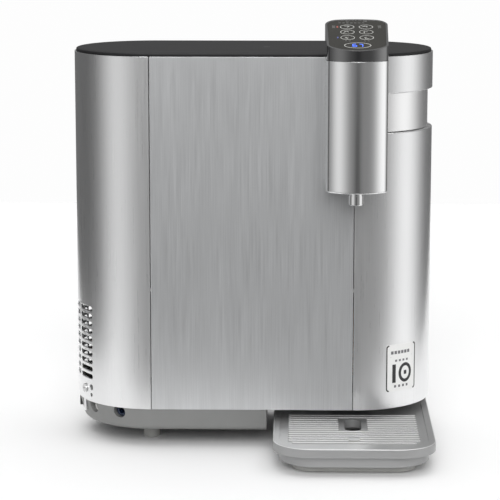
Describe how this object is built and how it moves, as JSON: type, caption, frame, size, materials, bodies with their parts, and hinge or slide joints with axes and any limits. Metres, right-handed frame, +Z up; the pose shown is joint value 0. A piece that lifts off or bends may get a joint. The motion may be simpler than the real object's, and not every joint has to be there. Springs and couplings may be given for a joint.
{
  "type": "countertop water dispenser",
  "caption": "Slim stadium-plan water dispenser with a swivelling tap head, swivelling drip tray, lift-off lid and side vents.",
  "frame": {"origin": "where the swivel axis of tap and tray meets the counter, under the pivot pad", "axes": "+X to the front of the cabinet, +Z up, +Y to the side away from the resting tap head"},
  "size_m": [0.385, 0.2818, 0.4588],
  "materials": {
    "satin_cover": "satin brushed, vertical grain",
    "side_metal": "brushed, vertical grain",
    "head_metal": "satin",
    "collar_white": "satin silver",
    "gloss_black": "gloss",
    "lid_black": "satin gloss",
    "panel_glass": "gloss",
    "base_plastic": "fine texture",
    "tray_plastic": "satin",
    "dark_plastic": "fine texture",
    "rubber_grey": "matt",
    "stainless": "polished",
    "inner_plastic": "moulded",
    "compressor_black": "gloss enamel",
    "fin_aluminium": "mill",
    "copper": "drawn",
    "zinc_steel": "galvanised",
    "foam": "closed cell",
    "board_green": "solder mask",
    "filter_white": "moulded",
    "label_white": "printed film",
    "lamp_clear": "diffusing",
    "tube_blue": "extruded",
    "screw_steel": "zinc plated"
  },
  "bodies": {
    "cabinet": {"base_chassis": "base_plastic", "skirt": "base_plastic", "bottom_pan": "dark_plastic", "pivot_post": "dark_plastic", "feet": "rubber_grey", "rear_cover": "satin_cover", "side_panel_right": "side_metal", "side_panel_left": "side_metal", "front_lower_cover": "satin_cover", "front_upper_cap": "satin_cover", "service_label": "label_white", "frame_posts": "zinc_steel", "top_frame": "dark_plastic", "mid_deck": "inner_plastic", "bearing_deck": "zinc_steel", "collar_bearing": "inner_plastic", "compressor": "compressor_black", "compressor_mounts": "rubber_grey", "terminal_cover": "dark_plastic", "condenser_fins": "fin_aluminium", "condenser_tube": "copper", "fan_frame": "dark_plastic", "cold_tank": "stainless", "evaporator_coil": "copper", "tank_foam_right": "foam", "tank_foam_left": "foam", "heater_vessel": "stainless", "induction_coil": "copper", "filter_manifold": "inner_plastic", "inlet_valve": "inner_plastic", "pressure_regulator": "inner_plastic", "flow_sensor": "inner_plastic", "outlet_valves": "inner_plastic", "control_board": "board_green", "power_board": "board_green", "inlet_fitting": "tube_blue", "drain_fitting": "inner_plastic", "cord_gland": "dark_plastic", "supply_tube": "tube_blue", "cover_screws": "screw_steel"},
    "tap": {"swivel_collar": "collar_white", "tap_arm": "dark_plastic", "head_shell": "head_metal", "head_visor": "gloss_black", "touch_glass": "panel_glass", "touch_board": "board_green", "head_bottom_plate": "dark_plastic", "nozzle": "stainless", "nozzle_holder": "inner_plastic", "sterilising_lamp": "lamp_clear", "tap_tube": "inner_plastic"},
    "lid": {"top_cover": "lid_black"},
    "fan": {"fan_impeller": "dark_plastic"},
    "cartridge_1": {"filter_1": "filter_white"},
    "cartridge_2": {"filter_2": "filter_white"},
    "cartridge_3": {"filter_3": "filter_white"},
    "tray_carrier": {"tray_swivel_plate": "zinc_steel"},
    "tray": {"tray_foot": "rubber_grey", "tray_basin": "tray_plastic"},
    "grille": {"tray_grille": "tray_plastic"}
  },
  "joints": [
    {"name": "tap_swivel", "type": "hinge", "parent": "cabinet", "child": "tap", "pos_m": [0, 0, 0.36], "axis": [0, 0, 1], "range_deg": [0, 180]},
    {"name": "tray_swivel", "type": "hinge", "parent": "cabinet", "child": "tray_carrier", "pos_m": [0, 0, 0.0056], "axis": [0, 0, 1], "range_deg": [0, 180]},
    {"name": "tray_pull", "type": "slide", "parent": "tray_carrier", "child": "tray", "axis": [0, -1, 0], "range_m": [0, 0.12]},
    {"name": "grille_lift", "type": "slide", "parent": "tray", "child": "grille", "axis": [0, 0, 1], "range_m": [0, 0.01]},
    {"name": "lid_lift", "type": "slide", "parent": "cabinet", "child": "lid", "axis": [0, 0, 1], "range_m": [0, 0.03]},
    {"name": "fan_spin", "type": "hinge", "parent": "cabinet", "child": "fan", "pos_m": [-0.19, 0, 0.105], "axis": [1, 0, 0], "continuous": true},
    {"name": "cartridge_1_twist", "type": "hinge", "parent": "cabinet", "child": "cartridge_1", "pos_m": [-0.258, 0, 0.2], "axis": [0, 0, 1], "range_deg": [0, 60]},
    {"name": "cartridge_2_twist", "type": "hinge", "parent": "cabinet", "child": "cartridge_2", "pos_m": [-0.205, 0.042, 0.2], "axis": [0, 0, 1], "range_deg": [0, 60]},
    {"name": "cartridge_3_twist", "type": "hinge", "parent": "cabinet", "child": "cartridge_3", "pos_m": [-0.205, -0.042, 0.2], "axis": [0, 0, 1], "range_deg": [0, 60]}
  ]
}
